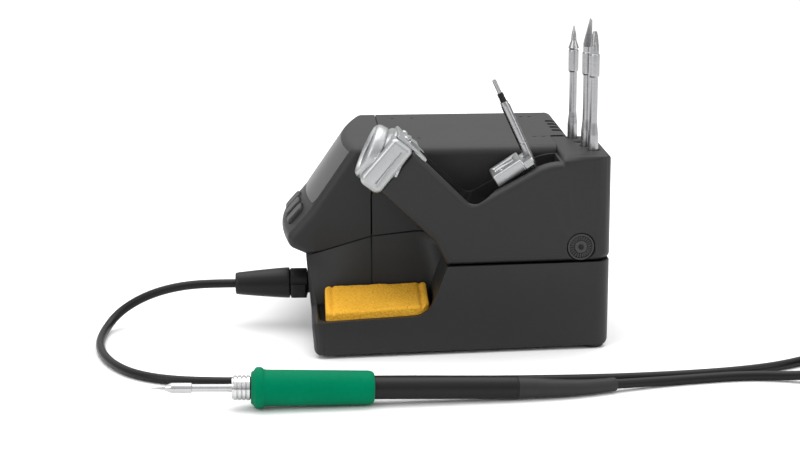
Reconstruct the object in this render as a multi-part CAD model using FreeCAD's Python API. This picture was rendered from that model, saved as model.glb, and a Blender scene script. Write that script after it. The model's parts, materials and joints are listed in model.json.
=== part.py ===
"""Bench soldering station: power unit with a tool stand on its near side, and its handpiece.

Frame: +Z up, +Y to the rear, +X to the side that carries the tool stand.  The origin is the
centre of the station's footprint on the bench.  Every length is in millimetres.
"""
import FreeCAD, Part
import math
import os

os.makedirs("parts", exist_ok=True)
V = FreeCAD.Vector
UP = V(0, 0, 1)

# ---------------------------------------------------------------- driving dimensions
WIDTH = 150.0            # station, along X
DEPTH = 175.0            # station, along Y
TOP = 105.0              # top of the housing above the bench
FAR = -WIDTH / 2         # far side of the housing
REAR = 74.5              # rear wall of the housing
STAND_REAR = DEPTH / 2   # rear of the stand's rack block
FOOT_HEIGHT = 2.2
WALL = 2.5
GAP = 0.3                # clearance between separate shells
HOUSING_NEAR = 35.0      # near side of the housing, behind the stand
STAND_NEAR = 75.0        # near side of the stand at the front corner
FLARE = math.tan(math.radians(4.0))   # the near side closes in towards the rear
FACE_TOP_Y = -51.0       # where the control face meets the top, along its fullest line
FACE_BEND = (-75.3, 70.0)   # the face is steeper above this line, shallower below it
NOSE = (-90.5, 53.1)     # foremost corner of the housing, before rounding
BOW_X = -8.0             # X of the face's fullest line
BOW_R = 215.0            # the face curves back to both sides with this radius
SEAM = 47.6              # seam between base and stand
CORD_D = 4.8
TUBE_D = 11.6
BEAD_D = 20.3
COIL_TURNS_HIGH = 3
COIL_MEAN_R = 26.0       # middle of the coil's turns
COIL_AT = V(118, 222, 0)

built = {}


def save(name, *solids):
    """Write one node; several separate solids make a group."""
    shape = solids[0] if len(solids) == 1 else Part.makeCompound(list(solids))
    shape.exportStep(f"parts/{name}.step")
    built[name] = shape
    return shape


# ---------------------------------------------------------------- outlines and prisms
PLANES = {
    "xy": (lambda a, b, level: V(a, b, level), V(0, 0, 1)),
    "xz": (lambda a, b, level: V(a, level, b), V(0, 1, 0)),
    "yz": (lambda a, b, level: V(level, a, b), V(1, 0, 0)),
}


def outline(corners, plane="xy", level=0.0):
    """Closed wire through (a, b, radius) corners: straight runs joined by tangent arcs."""
    place = PLANES[plane][0]
    ends = []
    count = len(corners)
    for i, (a, b, radius) in enumerate(corners):
        here = V(a, b, 0)
        before = V(*corners[i - 1][:2], 0) - here
        after = V(*corners[(i + 1) % count][:2], 0) - here
        before.normalize()
        after.normalize()
        half = before.getAngle(after) / 2
        if radius <= 0:
            ends.append((here, None, here))
            continue
        reach = radius / math.tan(half)
        middle = before + after
        middle.normalize()
        tip = here + middle * (radius / math.sin(half) - radius)
        ends.append((here + before * reach, tip, here + after * reach))
    edges = []
    for i, (start, tip, end) in enumerate(ends):
        last = ends[i - 1][2]
        if (start - last).Length > 1e-4:
            run = Part.LineSegment(place(last.x, last.y, level), place(start.x, start.y, level))
            edges.append(run.toShape())
        if tip:
            arc = Part.Arc(*(place(p.x, p.y, level) for p in (start, tip, end)))
            edges.append(arc.toShape())
    return Part.Wire(edges)


def prism(corners, plane, low, high):
    return Part.Face(outline(corners, plane, low)).extrude(PLANES[plane][1] * (high - low))


def box(x, y, z):
    """Block between (low, high) pairs."""
    return Part.makeBox(x[1] - x[0], y[1] - y[0], z[1] - z[0], V(x[0], y[0], z[0]))


def soft_box(x, y, z, radius):
    """Block with its upright edges rounded."""
    corners = [(x[0], y[0], radius), (x[1], y[0], radius), (x[1], y[1], radius), (x[0], y[1], radius)]
    return prism(corners, "xy", z[0], z[1])


def rod(radius, length, at, axis=UP):
    return Part.makeCylinder(radius, length, at, axis)


def tube(outer, inner, length, at, axis=UP):
    overrun = axis * 1.0
    return rod(outer, length, at, axis).cut(rod(inner, length + 2, at - overrun, axis))


def turned(profile, at, axis):
    """Solid turned from (distance along the axis, radius) points."""
    points = [V(r, 0, t) for t, r in profile]
    first, last = profile[0], profile[-1]
    if last[1] > 0:
        points.append(V(0, 0, last[0]))
    if first[1] > 0:
        points.append(V(0, 0, first[0]))
    face = Part.Face(Part.makePolygon(points + [points[0]]))
    solid = face.revolve(V(0, 0, 0), UP, 360)
    solid.Placement = FreeCAD.Placement(at, FreeCAD.Rotation(UP, axis))
    return solid


def shift(corners, amount):
    """The same outline moved inwards by amount; its corners stay concentric."""
    area = sum(a[0] * b[1] - b[0] * a[1] for a, b in zip(corners, corners[1:] + corners[:1]))
    side = 1 if area > 0 else -1
    moved = []
    count = len(corners)
    for i, (a, b, radius) in enumerate(corners):
        here = V(a, b, 0)
        before = here - V(*corners[i - 1][:2], 0)
        after = V(*corners[(i + 1) % count][:2], 0) - here
        before.normalize()
        after.normalize()
        n1 = V(-before.y, before.x, 0) * side
        n2 = V(-after.y, after.x, 0) * side
        mitre = (n1 + n2) * (amount / (1 + n1.dot(n2)))
        convex = (before.x * after.y - before.y * after.x) * side > 0
        new_radius = max(radius - amount, 0) if convex else radius + amount if radius else 0
        moved.append((a + mitre.x, b + mitre.y, new_radius))
    return moved


def near_side(y, inset=0.0):
    """X of the stand's near side at a given Y."""
    return STAND_NEAR - FLARE * (y + 72.0) - inset


# ---------------------------------------------------------------- station outlines
FRONT_TOP = (-73.3, 46.8)        # base front wall at the seam
FRONT_FOOT = (-69.6, FOOT_HEIGHT)
SEAM_BEND = (-38.3, 57.0)
SEAM_REAR = (-15.0, 59.5)

SPLIT_LOW = (-38.3, 79.0)        # joint between console and cover: upright below this point
SPLIT_HIGH = (-31.6, TOP)        # and leaning back above it
cover_profile = [
    (-60.0, TOP, 0), (REAR - 1.5, TOP, 5.0), (REAR, SEAM_REAR[1], 0), (*SEAM_REAR, 0), (*SEAM_BEND, 0),
    (-60.0, SEAM_BEND[1] - 6.2, 0),
]
RIM_FRONT = 19.5
RIM_REAR = 21.5
base_profile = [
    (*FRONT_FOOT, 3.0), (*FRONT_TOP, 0), (*SEAM_BEND, 0), (*SEAM_REAR, 0),
    (REAR, SEAM_REAR[1], 0), (REAR, FOOT_HEIGHT, 3.0),
]
tray_profile = [
    (*FRONT_FOOT, 3.0), (FRONT_FOOT[0] - 1.5, RIM_FRONT, 3.0), (-9.5, RIM_REAR, 12.0), (0.4, SEAM, 0.0),
    (STAND_REAR - 0.3, SEAM, 0), (STAND_REAR - 0.8, FOOT_HEIGHT, 3.0),
]
station_plan = [
    (FAR, -95, 0), (near_side(-95), -95, 0), (near_side(STAND_REAR), STAND_REAR, 9.0),
    (5.0, STAND_REAR, 5.0), (5.0, REAR, 2.0), (FAR, REAR, 6.0),
]
RACK = (5.0, 62.0, 60.0)         # rack block: far X, near X, front Y
stand_profile = [
    (-17.5, 109.2, 1.5), (13.4, 79.8, 5.0), (53.0, 101.0, 30.0), (STAND_REAR, 101.0, 9.0),
    (STAND_REAR, SEAM + 0.6, 0), (0.4, SEAM + 0.6, 2.0), (-5.5, 60.5, 3.0), (-35.0, 89.3, 1.5),
]
CAVITY_FLOOR = 52.0
cavity_profile = [
    (-52.0, 110.0, 0), (-2.6, 62.2, 4.0), (4.5, CAVITY_FLOOR, 4.0), (RACK[2], CAVITY_FLOOR, 3.0),
    (RACK[2], 130.0, 0), (-52.0, 130.0, 0),
]
STAND_FAR = HOUSING_NEAR + GAP
CAVITY_X = (38.3, 67.6)


def bow(x):
    """How far the control face lies behind its fullest line."""
    return (x - BOW_X) ** 2 / (2 * BOW_R)


def console_outline(x, inset=0.0, rear=-20.0):
    back = bow(x)
    corners = [
        (*FRONT_TOP, 0), (NOSE[0] + back, NOSE[1], 6.0), (FACE_BEND[0] + back, FACE_BEND[1], 45.0),
        (FACE_TOP_Y + back, TOP, 5.4), (rear, TOP, 0), (rear, 59.0, 0), (*SEAM_BEND, 0),
    ]
    return outline(shift(corners, inset), "yz", x)


def console_solid(inset, low, high, rear=-20.0):
    """Solid between two X, with the bowed face moved inwards by inset."""
    stations = [low + (high - low) * i / 6 for i in range(7)]
    return Part.makeLoft([console_outline(x, inset, rear) for x in stations], True, False)


KEY_SLOPE = math.degrees(math.atan2(FACE_BEND[1] - NOSE[1], FACE_BEND[0] - NOSE[0]))


def on_face(shape, x):
    """Move a key piece (x across, y up the slope, z outwards, centred on 0) onto the face at X."""
    z = KEY_Z
    y = FACE_BEND[0] + bow(x) + (z - FACE_BEND[1]) / math.tan(math.radians(KEY_SLOPE))
    turn = FreeCAD.Rotation(V(1, 0, 0), KEY_SLOPE)
    shape.Placement = FreeCAD.Placement(V(x, y, z), turn).multiply(shape.Placement)
    return shape


def round_edges(solid, radius, wanted):
    """Fillet the edges whose midpoint the test accepts."""
    edges = [e for e in solid.Edges if wanted(e.CenterOfMass, e)]
    return solid.makeFillet(radius, edges)


# ---------------------------------------------------------------- base
def make_base():
    # block with the raked front wall and rounded corners, then cut to the seam line and the tray rim
    rake = (FRONT_TOP[0] - FRONT_FOOT[0]) / (FRONT_TOP[1] - FRONT_FOOT[1])

    def front_y(z):
        return FRONT_FOOT[0] + rake * (z - FRONT_FOOT[1])

    raked = [(front_y(-5), -5, 0), (front_y(70), 70, 0), (100, 70, 0), (100, -5, 0)]
    block = prism(raked, "yz", FAR, STAND_NEAR + 9)
    block = block.common(prism(station_plan, "xy", -5, 70))
    block = round_edges(block, 5.0, lambda p, e: p.y < -68 and e.Length > 40 and abs(p.z - 32.5) < 5)
    outer = prism(base_profile, "yz", FAR - 1, HOUSING_NEAR).common(block)
    near = prism(tray_profile, "yz", HOUSING_NEAR - 5, STAND_NEAR + 10)
    rear_block = prism(tray_profile, "yz", RACK[0], STAND_NEAR + 10)
    rear_block = rear_block.common(box((0, 90), (REAR - 5, 95), (-5, 60)))
    outer = outer.fuse(near.fuse(rear_block).common(block)).removeSplitter()
    # inside of the power compartment
    inner_profile = [
        (FRONT_FOOT[0] + 2.2, FOOT_HEIGHT + WALL, 2.0), (FRONT_TOP[0] + 2.6, FRONT_TOP[1], 0),
        (FRONT_TOP[0] + 2.6, 80, 0), (REAR - WALL, 80, 0), (REAR - WALL, FOOT_HEIGHT + WALL, 2.0),
    ]
    room = prism(inner_profile, "yz", FAR + WALL, HOUSING_NEAR - WALL)
    # space under the stand
    side_room = prism(
        [(33.0, 2.5, 2), (near_side(2.5, WALL), 2.5, 3), (near_side(85, WALL), 85.0 - 0.3, 6), (7.5, 84.7, 3),
         (7.5, REAR - WALL, 0), (33.0, REAR - WALL, 0)],
        "xy", FOOT_HEIGHT + WALL, 80,
    )
    # sponge tray
    tray = prism(
        [(36.0, -67.0, 4), (near_side(-67, TRAY_WALL), -67.0, 6), (near_side(-6, TRAY_WALL), -6.0, 6),
         (36.0, -6.0, 4)],
        "xy", 13.0, 80,
    )
    base = outer.cut(room).cut(side_room).cut(tray)
    # shadow line along the joint with the housing, and the upright joint line below it
    line = [(*FRONT_TOP, 0), (*SEAM_BEND, 0), (*SEAM_REAR, 0), (REAR + 1, SEAM_REAR[1], 0),
            (REAR + 1, SEAM_REAR[1] - SEAM_GAP, 0), (SEAM_REAR[0], SEAM_REAR[1] - SEAM_GAP, 0),
            (SEAM_BEND[0], SEAM_BEND[1] - SEAM_GAP, 0), (FRONT_TOP[0] - 1, FRONT_TOP[1] - SEAM_GAP - 0.3, 0)]
    band = prism(line, "yz", FAR - 1, HOUSING_NEAR + 1)
    kept_x = (FAR + SEAM_DEEP, HOUSING_NEAR - SEAM_DEEP)
    band = band.cut(box(kept_x, (FRONT_TOP[0] + SEAM_DEEP, REAR - SEAM_DEEP), (30, 70)))
    base = base.cut(band)
    upright = box((HOUSING_NEAR - 0.8, HOUSING_NEAR + 1), (SEAM_BEND[0] - 0.1, SEAM_BEND[0] + 0.8), (22, 58))
    base = base.cut(upright)
    # openings: socket in front, inlet plate behind, cooling slots below, screw bosses
    base = base.cut(rod(9.2, 12, V(SOCKET_X, -78, SOCKET_Z), V(0, 1, 0)))
    base = base.cut(box((REAR_PANEL_X[0], REAR_PANEL_X[1]), (REAR - 5, REAR + 5), REAR_PANEL_Z))
    for i in range(6):
        x = -52 + i * 13.0
        base = base.cut(soft_box((x - 1.5, x + 1.5), (-45, -15), (0, 8), 1.4))
    for x, y in FOOT_AT:
        base = base.cut(rod(1.6, 10, V(x, y, 0)))
    return save("base_shell", base)


TRAY_WALL = 3.4
SEAM_GAP = 0.8
SEAM_DEEP = 1.2
SOCKET_X = 5.0
SOCKET_Z = 24.0
REAR_PANEL_X = (-66.0, -2.0)
REAR_PANEL_Z = (10.0, 50.0)
FOOT_AT = [(-62.0, -57.0), (53.0, -52.0), (-62.0, 62.0), (57.6, 79.2)]


# ---------------------------------------------------------------- upper housing
def make_housing():
    def side_edge(x, low_y):
        def wanted(p, e):
            return abs(p.x - x) < 0.2 and e.Length > 1 and p.y > low_y + 0.5 and p.z > 61
        return wanted

    cover = prism(cover_profile, "yz", FAR, HOUSING_NEAR)
    cover = round_edges(cover, 5.0, side_edge(HOUSING_NEAR, -60))
    cover = round_edges(cover, 5.0, side_edge(FAR, -60))
    room = prism(
        [(-70, 40, 0), (-70, TOP - WALL, 0), (REAR - WALL - 1.5, TOP - WALL, 3.0), (REAR - WALL, 40, 0)],
        "yz", FAR + WALL, HOUSING_NEAR - WALL,
    )
    cover = cover.cut(room)
    # the rack block of the stand fills the rear near corner
    cover = cover.cut(soft_box((RACK[0] - GAP, 60), (RACK[2] + 2 - GAP, 95), (58, 120), 2.0))
    # joint with the console
    split = [(SPLIT_LOW[0], 30), SPLIT_LOW, SPLIT_HIGH, (SPLIT_HIGH[0] + 2, TOP + 8)]
    front_side = prism([(y, z, 0) for y, z in split + [(-130, TOP + 8), (-130, 30)]], "yz", -90, 60)
    rear_side = prism([(y + 0.8, z, 0) for y, z in split + [(-130, TOP + 8), (-130, 30)]], "yz", -90, 60)
    cover = cover.cut(rear_side)
    outer = console_solid(0.0, FAR, HOUSING_NEAR)
    outer = round_edges(outer, 5.0, lambda p, e: abs(p.x - HOUSING_NEAR) < 0.2 and (p.z > 61 or p.y < -76))
    outer = round_edges(outer, 5.0, lambda p, e: abs(p.x - FAR) < 0.2 and (p.z > 61 or p.y < -73.6))
    inner = console_solid(WALL, FAR + WALL, HOUSING_NEAR - WALL, -10.0)
    mouth = prism(
        [(FRONT_TOP[0] + 3, FRONT_TOP[1] - 8, 0), (FRONT_TOP[0] + 3, 60, 0), (-20, 66, 0),
         (-20, FRONT_TOP[1] - 8, 0)],
        "yz", FAR + WALL, HOUSING_NEAR - WALL,
    )
    console = outer.common(front_side).cut(inner).cut(mouth)
    # window pocket and key openings on the control face
    console = console.cut(window_solid(GAP, 1.4, -3.0)).cut(window_solid(-8.0, 6.0, -3.0))
    for x in KEY_X:
        half_w, half_h = KEY_W / 2 + 0.6, KEY_H / 2 + 0.6
        opening = soft_box((-half_w, half_w), (-half_h, half_h), (-8, 5), 3.2)
        console = console.cut(on_face(opening, x))
    save("console_bezel", console)
    # vents over the rear edge, dimples on the top
    for x in (-41.0, -31.0, -21.0, -11.0):
        cover = cover.cut(soft_box((x - 2.4, x + 2.4), (65.0, 85.0), (93.0, 120.0), 1.2))
    for x in (-57.0, 8.0):
        for y in (-22.0, -10.5, 53.0, 58.0):
            cover = cover.cut(rod(1.1, 2.0, V(x, y, TOP - 1.0)))
    for z in (66.0, 73.0, 80.0, 87.0):
        cover = cover.cut(soft_box((-60, -8), (REAR - 8, REAR + 5), (z, z + 3), 0.5))
    save("housing_cover", cover)


WINDOW_X = (-66.0, 31.5)
WINDOW_Z = (74.0, 102.2)
KEY_X = (-18.5, -2.0, 14.5)
KEY_Z = 65.2
KEY_W = 13.0
KEY_H = 11.0


def window_solid(margin, depth, proud):
    """Slab that follows the bowed face, from depth below it to proud above it."""
    slab = console_solid(-0.15 if proud > -1 else proud, FAR - 4, HOUSING_NEAR + 4)
    slab = slab.cut(console_solid(depth, FAR - 5, HOUSING_NEAR + 5, -10.0))
    x, z = WINDOW_X, WINDOW_Z
    low_x, high_x, low_z, high_z = x[0] - margin, x[1] + margin, z[0] - margin, z[1] + margin
    corners = [(low_x, low_z, 3.5), (high_x, low_z, 3.5), (high_x, high_z, 3.5), (low_x, high_z, 3.5)]
    return slab.common(prism(corners, "xz", -110, -30))


def make_controls():
    # glossy window, slightly proud of the face
    save("display_window", window_solid(0.0, 1.3, 0.0))
    turn = FreeCAD.Rotation(V(1, 0, 0), 55.2)
    module = soft_box((-54, 20), (-13, 13), (-5.4, 0), 1.0)
    module.Placement = FreeCAD.Placement(V(0, -50.0, 86.0), turn)
    save("display_module", module)
    board = box((-58, 26), (-26, 16), (-8.4, -6.8))
    board.Placement = FreeCAD.Placement(V(0, -50.0, 86.0), turn)
    save("control_board", board)
    sides = ("far", "centre", "near")
    switches = []
    for side, x in zip(sides, KEY_X):
        cap = soft_box((-KEY_W / 2, KEY_W / 2), (-KEY_H / 2, KEY_H / 2), (-2.6, 1.7), 2.8)
        cap = round_edges(cap, 0.7, lambda p, e: p.z > 1.6)
        stem = rod(1.6, 5.0, V(0, 0, -7.6))
        flange = soft_box((-KEY_W / 2 - 0.9, KEY_W / 2 + 0.9), (-4.2, 4.2), (-5.6, -3.2), 1.0)
        neck = soft_box((-4.0, 4.0), (-4.0, 4.0), (-3.6, -2.4), 1.0)
        save(f"key_{side}", on_face(cap.fuse([stem, flange, neck]).removeSplitter(), x))
        switches.append(on_face(box((-3, 3), (-3, 3), (-11.0, -9.1)), x))
    save("key_switches", *switches)


# ---------------------------------------------------------------- stand
def make_stand():
    plan = prism(station_plan, "xy", 30, 130)
    outer = prism(stand_profile, "yz", STAND_FAR, STAND_NEAR + 10).common(plan)
    rack = prism(
        [(RACK[0], SEAM_REAR[1] + 0.6, 0), (RACK[0], TOP - 0.4, 2.0), (RACK[1], TOP - 0.4, 9.0), (70.0, 97.0, 3.0),
         (70.0, SEAM_REAR[1] + 0.6, 0)],
        "xz", RACK[2] + 2, STAND_REAR,
    ).common(plan)
    rear_round = prism([(50, 40, 0), (50, TOP, 0), (STAND_REAR, TOP - 0.4, 4.0), (STAND_REAR, 40, 0)], "yz", 0, 90)
    rack = rack.common(rear_round)

    def near_rim(p, e):
        on_near = abs(p.x - near_side(p.y)) < 0.15
        return on_near and p.z > SEAM + 3

    outer = round_edges(outer, 3.5, near_rim)
    block = outer.fuse(rack).removeSplitter()
    cavity = prism(cavity_profile, "yz", *CAVITY_X)
    # the near wall keeps its thickness as it closes in towards the rear
    near_wall = prism(
        [(30, -60, 0), (near_side(-60, 6.5), -60, 0), (near_side(RACK[2], 6.5), RACK[2] + 1, 0),
         (30, RACK[2] + 1, 0)],
        "xy", 40, 140,
    )
    block = block.cut(cavity.common(near_wall))
    under = prism(
        [(40, RACK[2] + 4, 2), (near_side(RACK[2] + 4, 5), RACK[2] + 4, 2), (near_side(84, 5), 84.0, 4),
         (40, 84, 2)],
        "xy", 40, 64,
    )
    block = block.cut(under)
    # the holder's bore runs on past the arm's near wall
    block = block.cut(rod(HOLDER_BORE + 0.6, 75, MOUTH + mouth_axis * 5, mouth_axis * -1))
    for x, y in HOLES:
        block = block.cut(rod(HOLE_R, 60, V(x, y, TOP - SOCKET_DEPTH)))
        block = block.cut(Part.makeCone(HOLE_R, HOLE_R + 1.2, 1.2, V(x, y, TOP - 1.6)))
    # seat of the thumb wheel in the near side
    block = block.cut(rod(WHEEL_R + 0.5, 12, wheel_point(-3.2), wheel_axis))
    block = block.cut(rod(1.25, 20, wheel_point(-8), wheel_axis))
    return save("stand_shell", block)


SOCKET_DEPTH = 40.0
HOLE_R = 3.1
ROW_START = V(10.0, 73.6, 0)
ROW_STEP = V(12.3, 1.9, 0)
HOLES = [(ROW_START.x + ROW_STEP.x * i, ROW_START.y + ROW_STEP.y * i) for i in range(4)]
WHEEL_R = 7.2
WHEEL_AT = (71.2, 55.9)
wheel_axis = V(1, FLARE, 0)
wheel_axis.normalize()


def wheel_point(depth):
    """Point on the wheel's axis, measured outwards from the near side."""
    return V(near_side(WHEEL_AT[0]), WHEEL_AT[0], WHEEL_AT[1]) + wheel_axis * depth


def make_wheel():
    rim = tube(WHEEL_R, WHEEL_R - 1.2, 2.6, wheel_point(-2.9), wheel_axis)
    disc = rod(WHEEL_R - 1.0, 1.6, wheel_point(-2.9), wheel_axis)
    hub = rod(3.4, 2.9, wheel_point(-2.9), wheel_axis)
    wheel = rim.fuse([disc, hub])
    ribs = []
    for i in range(24):
        rib = Part.makeBox(0.5, 2.6, 2.4, V(-0.25, 3.2, 0))
        rib.Placement = FreeCAD.Placement(
            wheel_point(-2.9), FreeCAD.Rotation(UP, wheel_axis).multiply(FreeCAD.Rotation(UP, i * 15.0))
        )
        ribs.append(rib)
    wheel = wheel.fuse(ribs).cut(rod(1.28, 20, wheel_point(-10), wheel_axis))
    save("thumb_wheel", wheel)
    pin = rod(1.23, 8.4, wheel_point(-8.0), wheel_axis)
    save("wheel_pin", pin)


# ---------------------------------------------------------------- tool holder on the arm
ARM = 43.5                                   # the arm rises towards the front, degrees
arm_out = V(0, math.sin(math.radians(ARM)), math.cos(math.radians(ARM)))
MOUTH = V(56.0, -41.5, 108.2)
MOUTH_TILT = 25.0
mouth_axis = V(0, -math.cos(math.radians(MOUTH_TILT)), math.sin(math.radians(MOUTH_TILT)))
HOLDER_BORE = 10.8


def make_holder():
    ring = turned(
        [(0, 13.2), (-1.2, 14.6), (-3.0, 15.0), (-6.2, 14.8), (-7.0, 13.2), (-9.0, 13.2), (-10.5, 15.6),
         (-19.0, 16.0)],
        MOUTH, mouth_axis,
    )
    cast = prism(
        [(-27.0, 117.2, 3.0), (-17.0, 109.4, 2.5), (-35.6, 86.4, 4.0), (-46.4, 94.6, 4.0)],
        "yz", CAVITY_X[0] + 0.2, 72.8,
    )
    cast = round_edges(cast, 2.5, lambda p, e: p.x > 72.6)
    plug = prism(
        [(-27.5, 113.0, 0), (-13.0, 101.5, 1.5), (-27.0, 87.8, 1.5), (-38.0, 96.0, 0)],
        "yz", CAVITY_X[0] + 0.2, 66.0,
    )
    body = ring.fuse([cast, plug]).removeSplitter()
    body = body.cut(rod(HOLDER_BORE, 60, MOUTH + mouth_axis * 5, mouth_axis * -1))
    body = body.cut(Part.makeCone(HOLDER_BORE, HOLDER_BORE + 1.6, 1.6, MOUTH - mouth_axis * 1.6, mouth_axis))
    # line in the casting, parallel with its rear edge
    turn = FreeCAD.Rotation(V(0, 0, 1), V(0, -0.777, 0.628))
    slab = Part.makeBox(6, 21, 0.9, V(-3, -10.5, -0.45))
    slab.Placement = FreeCAD.Placement(V(75.2, -30.4, 101.2), turn)
    body = body.cut(slab).cut(built["stand_shell"])
    save("tool_holder", body)
    # flat tongue that hooks over the arm behind the ring
    tongue = prism(
        [(-24.2, 118.6, 1.0), (-10.2, 104.2, 0.4), (-11.3, 103.1, 0.4), (-25.8, 116.6, 1.0)],
        "yz", 44.0, 68.0,
    )
    bump = prism([(-18.4, 113.6, 0.8), (-14.4, 111.0, 0.8), (-13.0, 107.0, 0), (-18.6, 112.4, 0)], "yz", 51.0, 61.0)
    tongue = tongue.fuse(bump).removeSplitter()
    tongue = tongue.cut(rod(HOLDER_BORE + 0.6, 75, MOUTH + mouth_axis * 5, mouth_axis * -1))
    save("holder_tongue", tongue.cut(body).cut(built["stand_shell"]))
    pair = []
    for x in (47.5, 64.5):
        pair.append(rod(1.8, 1.2, V(x, -20.4, 114.9), arm_out))
    save("holder_screws", *pair)


# ---------------------------------------------------------------- extractor block and the cartridge in it
LEAN = 24.5
lean_axis = V(0, -math.sin(math.radians(LEAN)), math.cos(math.radians(LEAN)))
SPARE_FOOT = V(50.0, 45.8, 99.5)
BLOCK_SLOPE = 33.0


def sloped(shape):
    """Move a piece modelled on the block's sloping top (x across, y up the slope) into place."""
    turn = FreeCAD.Rotation(V(1, 0, 0), BLOCK_SLOPE)
    shape.Placement = FreeCAD.Placement(V(50.0, 32.5, 98.2), turn).multiply(shape.Placement)
    return shape


def make_extractor():
    upper = soft_box((-11.0, 11.0), (-9.5, 8.0), (-6.0, 0.0), 1.0)
    upper = round_edges(upper, 0.8, lambda p, e: p.z > -0.1)
    shelf = soft_box((-11.0, 11.0), (7.0, 13.5), (-6.0, -2.4), 1.0)
    foot = box((-9.0, 9.0), (-8.0, 12.0), (-13.0, -5.0))
    block = sloped(upper.fuse([shelf, foot]).removeSplitter())
    for x in (-4.5, 1.5):
        block = block.cut(sloped(soft_box((x, x + 2.2), (-7.0, 5.0), (-3.0, 2.0), 1.0)))
    block = block.cut(sloped(rod(0.9, 5.0, V(7.0, -3.0, -3.0))))
    block = block.cut(rod(SPARE_R + 0.35, 60, SPARE_FOOT - lean_axis * 35, lean_axis))
    save("extractor_block", block)
    # bracket that carries the block between the cavity's walls
    bracket = sloped(box((-11.4, 9.2), (-12.0, 14.0), (-15.6, -13.2)))
    bracket = bracket.cut(rod(SPARE_R + 0.6, 80, SPARE_FOOT - lean_axis * 40, lean_axis))
    save("extractor_bracket", bracket)


SPARE_R = 2.45


def make_spare():
    at = SPARE_FOOT
    shaft = turned([(-24.0, 1.6), (-20.0, SPARE_R), (32.5, SPARE_R), (33.5, 2.1), (35.0, 2.1)], at, lean_axis)
    tab = Part.makeBox(1.0, 1.9, 8.0, V(-0.5, 1.4, 23.0))
    tab.Placement = FreeCAD.Placement(at, FreeCAD.Rotation(UP, lean_axis))
    save("spare_tube", shaft.fuse(tab).removeSplitter())
    save("spare_insulator", turned([(35.0, 1.7), (39.5, 1.7), (40.0, 1.4)], at, lean_axis))
    save("spare_contact", turned([(40.0, 1.1), (47.5, 1.1), (48.0, 0.7)], at, lean_axis))


# ---------------------------------------------------------------- cartridges in the rack
def make_rack_cartridges():
    """Three cartridges stand in the rack, tips up; the fourth place is free."""
    places = {"fine": (0, 140.8), "knife": (2, 142.7), "chisel": (3, 143.2)}
    for kind, (hole, sleeve_low) in places.items():
        x, y = HOLES[hole]
        sleeve_high = sleeve_low + 12.0
        body = turned(
            [(TOP - SOCKET_DEPTH + 1.0, 2.0), (TOP - SOCKET_DEPTH + 2.0, 2.75), (TOP + 6.5, 2.75), (TOP + 14.0, 2.1),
             (sleeve_low, 2.1), (sleeve_low + 0.6, 2.8), (sleeve_high, 2.8), (sleeve_high + 1.0, 2.4)],
            V(x, y, 0), UP,
        )
        start = V(x, y, sleeve_high + 1.0)
        if kind == "fine":
            tip = turned([(0, 2.9), (3.8, 1.5), (8.4, 1.15), (12.4, 0.4)], start, UP)
        elif kind == "knife":
            low, high = start.z, 172.8
            edge = [(y - 3, low - 1, 0), (y + 3, low - 1, 0), (y + 3, high - 2.4, 0), (y + 1.3, high, 0),
                    (y - 2.35, low + 3.1, 0), (y - 3, low + 1.1, 0)]
            blade = prism(edge, "yz", x - 1.4, x + 0.9)
            blade = blade.fuse(box((x - 3, x + 3), (y - 3, y + 3), (low - 1, low + 2.2)))
            tip = turned([(0, 2.35), (high - low + 1, 2.35)], start, UP).common(blade)
        else:
            cone = turned([(0, 2.3), (3.0, 2.2), (8.5, 1.6), (11.3, 1.0)], start, UP)
            wedge = prism([(-3, 0, 0), (3, 0, 0), (0.4, 12.0, 0), (-0.4, 12.0, 0)], "xz", -4, 4)
            wedge.Placement = FreeCAD.Placement(start, FreeCAD.Rotation(UP, 35))
            tip = cone.common(wedge)
        save(f"cartridge_{kind}", body.fuse(tip).removeSplitter())


# ---------------------------------------------------------------- sponge
def make_sponge():
    y = (-63.6, -8.6)
    edge = TRAY_WALL + 0.8
    x = (37.6, near_side(y[0], edge))
    profile = [(x[0], 20.4, 1.5), (x[1], 14.0, 1.5), (x[1], 24.0, 1.5), (x[0], 30.4, 1.5)]
    pad = prism(profile, "xz", *y)
    corners = [(x[0], y[0], 2.5), (x[1], y[0], 2.5), (near_side(y[1], edge), y[1], 5.0), (x[0], y[1], 2.5)]
    plan = prism(corners, "xy", 5, 40)
    pad = pad.common(plan)
    pad.rotate(V(x[0], y[0], 20.4), V(1, 0, 0), SPONGE_RISE)
    save("sponge", pad)
    low, high = -66.6, -6.4
    edge = TRAY_WALL + 0.4
    insert = prism([(36.4, 13.0, 0), (72.0, 13.0, 0), (72.0, 13.2, 0), (36.4, 20.0, 0)], "xz", low, high)
    room = prism(
        [(36.4, low, 3.6), (near_side(low, edge), low, 5.6), (near_side(high, edge), high, 5.6), (36.4, high, 3.6)],
        "xy", 10, 30,
    )
    save("sponge_support", insert.common(room))


SPONGE_RISE = 1.4        # the sponge lies a little higher at its rear end, degrees


# ---------------------------------------------------------------- feet and fasteners
def make_feet():
    feet = []
    screws = []
    for x, y in FOOT_AT:
        pad = turned([(0, 4.9), (0.5, 5.5), (FOOT_HEIGHT, 5.7)], V(x, y, 0), UP)
        feet.append(pad.cut(rod(3.0, 1.5, V(x, y, -0.1))).cut(rod(1.65, 6, V(x, y, -1))))
        shank = rod(1.5, 8.0, V(x, y, 1.0))
        screws.append(shank.fuse(rod(2.8, 1.0, V(x, y, 0.4))).removeSplitter())
    feet.append(turned([(0, 6.0), (0.5, 6.6), (FOOT_HEIGHT, 6.8)], V(0, 0, 0), UP))
    save("feet", *feet)
    save("foot_screws", *screws)


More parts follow.
